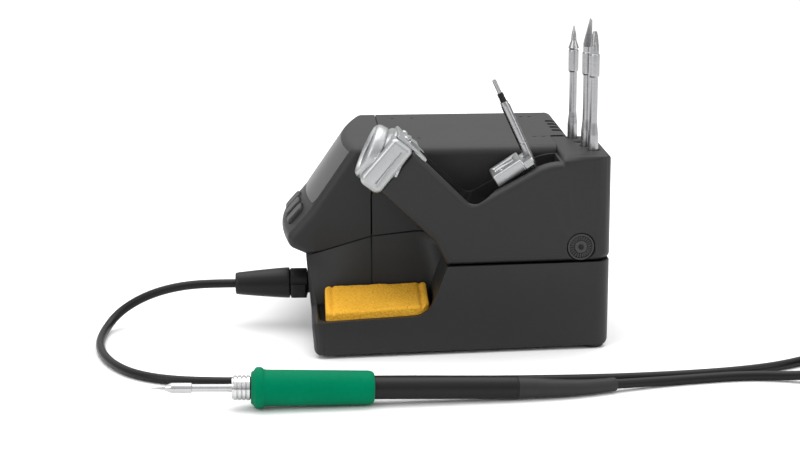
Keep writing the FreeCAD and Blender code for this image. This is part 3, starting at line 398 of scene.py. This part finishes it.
# %% Solids that keep their shape
paint_of_slot = {
    "housing": housing_paint, "window": window_gloss, "key": key_paint, "die_cast": cast_metal,
    "steel": upright_steel, "chrome": chrome, "black_plastic": satin_black, "grip": grip_green,
    "cord_rubber": cord_black, "sponge": sponge_amber, "foot_rubber": foot_black, "brass": brass,
    "iron_core": core_grey, "winding": winding_red, "board": board_green, "plated": plated_sheet,
}
remodelled = {
    "cord_from_plug", "cord_coil", "cord_to_handpiece", "grip_sleeve", "collar_nut", "cartridge_in_use",
    "handle_tube", "strain_relief", "cartridge_fine", "cartridge_knife", "cartridge_chisel", "sponge",
    "plug_boot", "feet", "thumb_wheel", "holder_screws", "spare_tube", "spare_insulator", "spare_contact",
}


def merged_copy(node):
    """Copy of a solid's mesh with its loose triangles joined."""
    mesh = bpy.data.meshes.new(node + "_shape")
    shape = bmesh.new()
    shape.from_mesh(frame["nodes"][node].data)
    bmesh.ops.remove_doubles(shape, verts=shape.verts, dist=2e-6)
    bmesh.ops.dissolve_degenerate(shape, edges=shape.edges, dist=1e-7)
    shape.to_mesh(mesh)
    shape.free()
    return mesh


kept = sorted(set(frame["nodes"]) - remodelled)
for node in kept:
    place_piece(node + "_look", merged_copy(node), paint_of_slot[slot_of_node[node]], node)
print("kept shapes", len(kept))


# %% [markdown]
# Round pieces are turned: a profile of (distance, radius) points is spun about its axis.  Sharp rings then
# get a small bevel, so that they catch the light as machined edges do.

# %% Helper that turns a round piece
def turned_piece(profile, start, axis, steps=64, edge=0.12):
    """Mesh of a profile in mm, spun about an axis through start."""
    shape = bmesh.new()
    ring = [shape.verts.new((radius * MM, 0, distance * MM)) for distance, radius in profile]
    lines = [shape.edges.new(pair) for pair in zip(ring, ring[1:])]
    bmesh.ops.spin(shape, geom=ring + lines, cent=(0, 0, 0), axis=(0, 0, 1), angle=FULL_TURN, steps=steps,
                   use_merge=True, use_duplicate=False)
    bmesh.ops.remove_doubles(shape, verts=shape.verts, dist=1e-7)
    bmesh.ops.recalc_face_normals(shape, faces=shape.faces)
    sharp = [e for e in shape.edges if len(e.link_faces) == 2 and e.calc_face_angle(0) > math.radians(35)]
    if sharp and edge:
        bmesh.ops.bevel(shape, geom=sharp, offset=edge * MM, offset_type="OFFSET", segments=2, profile=0.5,
                        affect="EDGES", clamp_overlap=True, material=-1)
    bmesh.ops.remove_doubles(shape, verts=shape.verts, dist=1e-7)
    turn = Vector((0, 0, 1)).rotation_difference(Vector(axis)).to_matrix().to_4x4()
    bmesh.ops.transform(shape, matrix=Matrix.Translation(Vector(start) * MM) @ turn, verts=shape.verts)
    mesh = bpy.data.meshes.new("turned")
    shape.to_mesh(mesh)
    shape.free()
    return mesh


def hollow(profile, bore):
    """Close a profile along a straight bore, for a piece with a hole through it."""
    return [(profile[0][0], bore)] + list(profile) + [(profile[-1][0], bore), (profile[0][0], bore)]


# %% [markdown]
# The iron lies on its grip's bead and its cord sleeve.  Its axis runs from the bead's middle to the end of
# the black tube; every round piece on it is turned about that line.

# %% The iron
BEAD_AT = Vector((152.6, -97.2, 10.3))
TAIL_AT = Vector((147.2, 28.5, 6.1))
iron_axis = (TAIL_AT - BEAD_AT).normalized()
tube_length = (TAIL_AT - BEAD_AT).length
grip_profile = [
    (-3.8, 7.3), (-3.3, 7.9), (-2.5, 8.4), (-2.2, 8.9), (-1.9, 9.45), (-1.2, 9.95), (0.0, 10.15), (1.1, 10.0),
    (1.8, 9.6), (2.3, 9.1), (3.2, 8.85), (6.0, 8.78), (20.0, 8.68), (36.0, 8.5), (52.4, 8.3), (53.8, 8.15),
    (54.8, 7.75), (55.4, 7.2), (55.65, 6.6),
]
place_piece("grip", turned_piece(hollow(grip_profile, 5.62), BEAD_AT, iron_axis, 72, 0.0), grip_green, "grip_sleeve",
            sharp=50)
collar_profile = [(-4.1, 5.45)]
for i in range(4):
    low = -4.25 - i * 2.1
    collar_profile += [(low, 5.75), (low - 0.2, 6.05), (low - 1.5, 6.05), (low - 1.72, 5.75), (low - 1.74, 5.4),
                       (low - 2.05, 5.4)]
collar_profile = collar_profile[:-1] + [(-13.1, 5.3)]
place_piece("collar", turned_piece(hollow(collar_profile, 2.6), BEAD_AT, iron_axis, 72, 0.05), chrome, "collar_nut")
tube_profile = [(-5.9, 5.2), (54.0, 5.65), (tube_length - 0.9, 5.6), (tube_length - 0.8, 5.42),
                (tube_length - 0.5, 5.42), (tube_length - 0.4, 5.55), (tube_length, 5.55)]
place_piece("handle", turned_piece(hollow(tube_profile, 4.6), BEAD_AT, iron_axis, 64, 0.1), handle_black, "handle_tube")
tip_profile = [
    (-52.3, 0.0), (-52.25, 0.2), (-51.0, 0.35), (-49.0, 0.5), (-45.1, 1.25), (-44.8, 1.3), (-44.7, 1.5), (-44.0, 1.65),
    (-42.1, 2.45), (-41.6, 2.52), (-32.6, 2.55), (-32.2, 2.45), (-32.0, 1.95), (-31.2, 1.88), (-15.0, 1.88),
    (-11.0, 2.15), (-4.0, 2.28), (19.4, 2.28), (19.6, 1.0), (19.7, 0.0),
]
place_piece("iron_tip", turned_piece(tip_profile, BEAD_AT, iron_axis, 48, 0.06), lying_steel, "cartridge_in_use")
print("iron pieces turned, tube length", round(tube_length, 1))

# %% [markdown]
# The sleeve that protects the cord narrows and bends from the tube to the cord.  Circles are set along its
# line and bridged into one skin; its small end flares into a rim.

# %% Cord sleeve
sleeve_route = [
    (TAIL_AT + iron_axis * 0.2, 5.3), (TAIL_AT + iron_axis * 4, 5.25), (TAIL_AT + iron_axis * 9, 5.0),
    (Vector((146.4, 44.0, 5.25)), 4.6), (Vector((145.6, 52.0, 4.8)), 4.2), (Vector((144.2, 60.0, 4.5)), 3.9),
    (Vector((142.2, 67.5, 4.2)), 3.6), (Vector((140.2, 73.8, 4.0)), 3.4), (Vector((139.0, 77.2, 3.95)), 3.42),
    (Vector((138.7, 78.1, 3.9)), 3.1),
]
shape = bmesh.new()
rings = []
for i, (at, radius) in enumerate(sleeve_route):
    after = sleeve_route[min(i + 1, len(sleeve_route) - 1)][0]
    before = sleeve_route[max(i - 1, 0)][0]
    turn = Vector((0, 0, 1)).rotation_difference((after - before).normalized()).to_matrix().to_4x4()
    made = bmesh.ops.create_circle(shape, cap_ends=False, segments=40, radius=radius * MM,
                                   matrix=Matrix.Translation(at * MM) @ turn)
    rings.append(list({e for v in made["verts"] for e in v.link_edges}))
for first, second in zip(rings, rings[1:]):
    bmesh.ops.bridge_loops(shape, edges=first + second)
bmesh.ops.holes_fill(shape, edges=shape.edges, sides=0)
bmesh.ops.recalc_face_normals(shape, faces=shape.faces)
sleeve_mesh = bpy.data.meshes.new("cord_sleeve")
shape.to_mesh(sleeve_mesh)
shape.free()
place_piece("cord_sleeve", sleeve_mesh, sleeve_black, "strain_relief", sharp=50)
print("sleeve rings", len(rings))

# %% [markdown]
# The cord's first part stays with the station.  The part that comes back is a loose piece on no body.

# %% Cord pieces
cord_out = place_piece("cord_out", cord_out_mesh, cord_black, "cord_from_plug", "cord_coil", sharp=60)
cord_back = place_piece("cord_back", cord_back_mesh, cord_black, None, sharp=60)
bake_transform(cord_back)
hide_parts("cord_to_handpiece")
print("cord length in all", round(cord_out_length + cord_back_length, 3))

# %% [markdown]
# Cartridges are turned steel: a slim stem, a thicker sleeve and a plated tip.  The knife tip is a flat
# blade with a slanting edge and the chisel tip is cut on two sides, with the bisect operator; each cut is filled.

# %% Cartridges in the rack
RACK_TOP = 105.0
row_start = Vector((10.0, 73.6, 0.0))
row_step = Vector((12.3, 1.9, 0.0))


def cut_flat(mesh, point, normal):
    """Cut away what lies in front of a plane, and close the cut."""
    shape = bmesh.new()
    shape.from_mesh(mesh)
    cut = bmesh.ops.bisect_plane(shape, geom=shape.verts[:] + shape.edges[:] + shape.faces[:], dist=1e-7,
                                 plane_co=Vector(point) * MM, plane_no=normal, clear_outer=True)
    rim = [g for g in cut["geom_cut"] if isinstance(g, bmesh.types.BMEdge)]
    bmesh.ops.holes_fill(shape, edges=rim, sides=0)
    bmesh.ops.recalc_face_normals(shape, faces=shape.faces)
    shape.to_mesh(mesh)
    shape.free()


def cartridge(place, low, sleeve_low, sleeve_high, tip):
    at = row_start + row_step * place
    profile = [
        (low, 0.0), (low, 2.0), (low + 1, 2.7), (RACK_TOP + 6.5, 2.72), (RACK_TOP + 8.0, 2.66), (RACK_TOP + 13.0, 2.15),
        (RACK_TOP + 14.5, 2.08), (sleeve_low, 2.08), (sleeve_low + 0.35, 2.5), (sleeve_low + 0.7, 2.76),
        (sleeve_low + 1.6, 2.78), (sleeve_high - 0.6, 2.78), (sleeve_high, 2.6), (sleeve_high + 0.3, 2.3),
    ]
    return at, turned_piece(profile + tip, at, (0, 0, 1), 48, 0.05)


print("rack row starts at", [round(c, 1) for c in row_start])

# %% Three cartridges
_, fine_mesh = cartridge(0, 66.0, 140.8, 152.8, [
    (153.9, 2.9), (157.8, 1.55), (158.2, 1.5), (161.4, 1.28), (163.0, 0.85), (165.8, 0.32), (166.2, 0.0)])
knife_at, knife_mesh = cartridge(2, 66.0, 142.7, 154.7, [(155.6, 2.35), (157.9, 2.35), (157.9, 0.0)])
blade_mesh = turned_piece([(156.5, 0.0), (156.5, 2.3), (172.8, 2.3), (172.8, 0.0)], knife_at, (0, 0, 1), 48, 0.0)
for offset, facing in (((0.9, 0, 0), (1, 0, 0)), ((-1.4, 0, 0), (-1, 0, 0)), ((0, 1.3, 172.8), (0, -0.968, 0.252)),
                       ((0, 1.3, 172.8), (0, 0.816, 0.578))):
    cut_flat(blade_mesh, knife_at + Vector(offset), facing)
shape = bmesh.new()
shape.from_mesh(knife_mesh)
shape.from_mesh(blade_mesh)
shape.to_mesh(knife_mesh)
shape.free()
chisel_at, chisel_mesh = cartridge(3, 66.0, 143.2, 155.2, [
    (156.2, 2.3), (159.5, 2.2), (165.0, 1.6), (167.3, 1.05), (167.4, 0.0)])
wedge = Vector((math.cos(math.radians(35)), math.sin(math.radians(35)), 0.22))
cut_flat(chisel_mesh, chisel_at + Vector((0.5 * wedge.x, 0.5 * wedge.y, 167.0)), wedge)
wedge = Vector((-wedge.x, -wedge.y, wedge.z))
cut_flat(chisel_mesh, chisel_at + Vector((0.5 * wedge.x, 0.5 * wedge.y, 167.0)), wedge)
for name, mesh in (("fine", fine_mesh), ("knife", knife_mesh), ("chisel", chisel_mesh)):
    place_piece(f"{name}_cartridge", mesh, upright_steel, f"cartridge_{name}")
print("cartridges", len(fine_mesh.vertices), len(knife_mesh.vertices), len(chisel_mesh.vertices))

# %% [markdown]
# The spare cartridge leans in the extractor with its contacts up: steel stem, black insulator and a grey pin.

# %% Leaning cartridge
LEAN = math.radians(24.5)
lean_axis = Vector((0, -math.sin(LEAN), math.cos(LEAN)))
spare_foot = Vector((50.0, 45.8, 99.5))
leaning_steel = worked_metal("leaning steel", (0.20, 0.20, 0.205), (0.44, 0.44, 0.45), 0.25, 0.004, 0.00001,
                             (0.2, 0.2, 8.0), (-LEAN, 0.0, 0.0))
place_piece("spare_stem", turned_piece([
    (-24.0, 0.0), (-24.0, 1.55), (-20.0, 2.42), (10.0, 2.42), (10.4, 2.3), (11.4, 2.3), (11.8, 2.42), (32.4, 2.42),
    (33.4, 2.08), (35.0, 2.05), (35.0, 0.0)], spare_foot, lean_axis, 48, 0.05), leaning_steel, "spare_tube")
place_piece("spare_ring", turned_piece([
    (35.0, 0.0), (35.0, 1.65), (37.0, 1.68), (37.2, 1.5), (37.6, 1.5), (37.8, 1.65), (39.5, 1.62), (40.0, 1.35),
    (40.0, 0.0)], spare_foot, lean_axis, 40, 0.04), satin_black, "spare_insulator")
place_piece("spare_pin", turned_piece([
    (40.0, 0.0), (40.0, 1.08), (47.2, 1.08), (47.8, 0.75), (48.0, 0.0)], spare_foot, lean_axis, 32, 0.03),
    leaning_steel, "spare_contact")
print("spare cartridge leans", round(math.degrees(LEAN), 1), "degrees")

# %% [markdown]
# The plug's boot is satin moulded plastic that tapers towards the cord; it starts from a smooth collar.
# Each foot is a small rubber puck, and the wheel in the stand's side has a knurled rim round a dished face.

# %% Boot, feet and wheel
boot_profile = [(12.6, 8.2), (12.9, 8.45), (14.2, 8.5), (20.0, 8.12), (31.0, 7.2), (40.6, 6.25), (42.0, 6.0),
                (42.6, 5.5), (42.7, 4.6)]
place_piece("boot", turned_piece(hollow(boot_profile, 2.42), (5.0, -69.8, 24.0), (0, -1, 0), 64, 0.1), satin_black,
            "plug_boot")
FEET = [(-62.0, -57.0), (53.0, -52.0), (-62.0, 62.0), (57.6, 79.2)]
shape = bmesh.new()
for x, y in FEET:
    puck = turned_piece([(0.0, 2.9), (0.0, 4.7), (0.25, 5.2), (0.7, 5.5), (2.2, 5.68), (2.2, 1.7), (1.4, 1.7),
                         (1.4, 2.9), (0.0, 2.9)], (x, y, 0), (0, 0, 1), 40, 0.0)
    shape.from_mesh(puck)
middle_foot = turned_piece([(0.0, 0.0), (0.0, 6.0), (0.3, 6.5), (2.2, 6.78), (2.2, 0.0)], (0, 0, 0), (0, 0, 1), 40, 0.0)
shape.from_mesh(middle_foot)
feet_mesh = bpy.data.meshes.new("feet")
shape.to_mesh(feet_mesh)
shape.free()
place_piece("feet_look", feet_mesh, foot_black, "feet", sharp=50)

WHEEL_LINE = Vector((1.0, math.tan(math.radians(4.0)), 0.0)).normalized()
wheel_face = Vector((75.0 - math.tan(math.radians(4.0)) * (71.2 + 72.0), 71.2, 55.9))
wheel_mesh = turned_piece([
    (-2.9, 1.3), (-2.9, 7.1), (-0.7, 7.15), (-0.32, 6.9), (-0.3, 6.1), (-1.3, 5.9), (-1.3, 3.5), (-0.25, 3.3),
    (0.0, 3.0), (0.0, 1.3), (-2.9, 1.3)], wheel_face, WHEEL_LINE, 72, 0.05)
shape = bmesh.new()
shape.from_mesh(wheel_mesh)
facing = Vector((0, 0, 1)).rotation_difference(WHEEL_LINE).to_matrix().to_4x4()
for i in range(24):
    place = (Matrix.Translation(wheel_face * MM) @ facing @ Matrix.Rotation(i * FULL_TURN / 24, 4, "Z")
             @ Matrix.Translation(Vector((4.7, 0, -0.95)) * MM) @ Matrix.Diagonal((2.2 * MM, 0.55 * MM, 1.0 * MM, 1.0)))
    bmesh.ops.create_cube(shape, size=1.0, matrix=place)
shape.to_mesh(wheel_mesh)
shape.free()
place_piece("wheel", wheel_mesh, key_paint, "thumb_wheel")
print("boot, feet and wheel turned")

# %% [markdown]
# The holder's two small screws have domed heads, turned like the other round pieces.

# %% Screw heads
rise = Vector((0, math.sin(math.radians(43.5)), math.cos(math.radians(43.5))))
shape = bmesh.new()
for x in (47.5, 64.5):
    head = turned_piece([(0.0, 0.0), (0.0, 1.75), (0.55, 1.7), (0.95, 1.25), (1.15, 0.55), (1.15, 0.0)],
                        (x, -20.4, 114.9), rise, 32, 0.0)
    shape.from_mesh(head)
screw_mesh = bpy.data.meshes.new("screws")
shape.to_mesh(screw_mesh)
shape.free()
place_piece("screws", screw_mesh, plated_sheet, "holder_screws", sharp=50)
print("screw heads", 2)

# %% [markdown]
# The sponge is a soft block.  A block with rounded edges is cut into a fine grid and shaped to the sloping
# solid, and its skin is moved a little with a smooth noise: cellulose never dries quite flat.  A line is
# pressed across it near each end.

# %% Sponge
from mathutils import noise as smooth_noise

SPONGE_X = (37.6, 70.2)
SPONGE_Y = (-63.6, -8.6)
SPONGE_TAPER = 3.8
SPONGE_RISE = math.tan(math.radians(1.4))
SPONGE_TOP = (30.4, 24.0)
SPONGE_THICK = 10.0
SPONGE_CORNER = 2.5
SPONGE_REAR_CORNER = 5.0
SPONGE_RIM = 1.2
SPONGE_GRID = (26, 72)
LINE_AT = 23.6
LINE_DEPTH = 0.9
LINE_WIDTH = 0.9
SPONGE_WIDE = SPONGE_X[1] - SPONGE_X[0]
SPONGE_LONG = SPONGE_Y[1] - SPONGE_Y[0]
shape = bmesh.new()
bmesh.ops.create_cube(shape, size=1.0)
upright = [e for e in shape.edges if abs((e.verts[0].co - e.verts[1].co).z) > 0.5]
bmesh.ops.scale(shape, vec=(SPONGE_WIDE, SPONGE_LONG, SPONGE_THICK), verts=shape.verts)
near_rear = [e for e in upright if e.verts[0].co.x > 0 and e.verts[0].co.y > 0]
bmesh.ops.bevel(shape, geom=near_rear, offset=SPONGE_REAR_CORNER, offset_type="OFFSET", segments=5, profile=0.5,
                affect="EDGES", material=-1)
others = [e for e in shape.edges if e.is_valid and abs((e.verts[0].co - e.verts[1].co).z) > 5
          and not (e.verts[0].co.x > 9 and e.verts[0].co.y > 19)]
bmesh.ops.bevel(shape, geom=others, offset=SPONGE_CORNER, offset_type="OFFSET", segments=3, profile=0.5,
                affect="EDGES", material=-1)
rims = [e for e in shape.edges if abs(e.verts[0].co.z - e.verts[1].co.z) < 0.01
        and len(e.link_faces) == 2 and e.calc_face_angle(0) > 1.0]
bmesh.ops.bevel(shape, geom=rims, offset=SPONGE_RIM, offset_type="OFFSET", segments=3, profile=0.5, affect="EDGES",
                material=-1)
for axis, count, span in (((1, 0, 0), SPONGE_GRID[0], SPONGE_WIDE), ((0, 1, 0), SPONGE_GRID[1], SPONGE_LONG)):
    for i in range(1, count):
        offset = Vector(axis) * (span * (i / count - 0.5))
        bmesh.ops.bisect_plane(shape, geom=shape.verts[:] + shape.edges[:] + shape.faces[:], dist=1e-5, plane_co=offset,
                               plane_no=axis)
bmesh.ops.triangulate(shape, faces=[f for f in shape.faces if len(f.verts) > 4])
slope = (SPONGE_TOP[1] - SPONGE_TOP[0]) / (SPONGE_X[1] - SPONGE_X[0])
for vert in shape.verts:
    x, y, z = vert.co
    wave = smooth_noise.noise(Vector((x, y, z)) * 0.11) * 0.35 + smooth_noise.noise(Vector((x, y, z)) * 0.5) * 0.12
    pressed = (sum(LINE_DEPTH * math.exp(-((y - at) / LINE_WIDTH) ** 2) for at in (-LINE_AT, LINE_AT))
               if z > 3 else 0.0)
    along = y / SPONGE_LONG + 0.5
    vert.co.x = SPONGE_X[0] + (x / SPONGE_WIDE + 0.5) * (SPONGE_WIDE - SPONGE_TAPER * along)
    vert.co.y = y * 0.994 + (SPONGE_Y[0] + SPONGE_Y[1]) / 2
    middle = SPONGE_TOP[0] + slope * (vert.co.x - SPONGE_X[0]) - SPONGE_THICK / 2 + SPONGE_RISE * along * SPONGE_LONG
    vert.co.z = middle + z * 0.97 + (wave - pressed if z > 0 else 0)
bmesh.ops.scale(shape, vec=(MM, MM, MM), verts=shape.verts)
bmesh.ops.recalc_face_normals(shape, faces=shape.faces)
sponge_mesh = bpy.data.meshes.new("sponge")
shape.to_mesh(sponge_mesh)
shape.free()
sponge = place_piece("wiping_pad", sponge_mesh, sponge_amber, "sponge", sharp=70)
print("sponge faces", len(sponge_mesh.polygons))

# %% [markdown]
# Both lengths of cord are in place.

print("cords placed")

# %% [markdown]
# The set is a wide pale bench that runs out of sight, a surround that is dim at the horizon and bright
# overhead, which gives metal its dark bands, and three soft lights: a large one above, one behind the
# camera's left shoulder, and a weak one from the right.

# %% Bench and light
bench_shape = bmesh.new()
bmesh.ops.create_grid(bench_shape, x_segments=1, y_segments=1, size=6.0)
bench_mesh = bpy.data.meshes.new("bench")
bench_shape.to_mesh(bench_mesh)
bench_shape.free()
bench_paint, shader, at = start_material("bench", 0.65)
shader.inputs["Base Color"].default_value = (0.90, 0.90, 0.90, 1.0)
shader.inputs["Specular IOR Level"].default_value = 0.15
bench_mesh.materials.append(bench_paint)
bench = bpy.data.objects.new("bench", bench_mesh)
bpy.context.scene.collection.objects.link(bench)

AT_HORIZON = 0.35
OVERHEAD = 1.45
world = bpy.data.worlds.new("surround")
world.use_nodes = True
sky = Value(world.node_tree, world.node_tree.nodes.new("ShaderNodeTexCoord").outputs["Generated"])
height = sky.node("ShaderNodeSeparateXYZ", {}, {"Vector": sky}, output=2)
glow = height.node("ShaderNodeMapRange", {}, {"Value": height, "To Min": AT_HORIZON, "To Max": OVERHEAD})
surround = world.node_tree.nodes["Background"]
surround.inputs["Color"].default_value = (1.0, 1.0, 1.0, 1.0)
world.node_tree.links.new(glow.socket, surround.inputs["Strength"])
bpy.context.scene.world = world


def soft_light(name, place, aim, size, power):
    data = bpy.data.lights.new(name, "AREA")
    data.shape = "RECTANGLE"
    data.size, data.size_y = size
    data.energy = power
    light = bpy.data.objects.new(name, data)
    direction = Vector(aim) - Vector(place)
    light.matrix_world = Matrix.Translation(place) @ direction.to_track_quat("-Z", "Y").to_matrix().to_4x4()
    bpy.context.scene.collection.objects.link(light)
    return light


soft_light("above", (-0.2, 0.0, 1.3), (0.0, 0.0, 0.05), (1.6, 1.4), 14.0)
soft_light("left", (0.9, -1.1, 0.7), (0.05, 0.0, 0.06), (0.6, 0.9), 5.0)
soft_light("right", (0.8, 1.2, 0.6), (0.05, 0.0, 0.06), (0.5, 0.8), 3.0)
bpy.context.scene.view_settings.view_transform = "Standard"
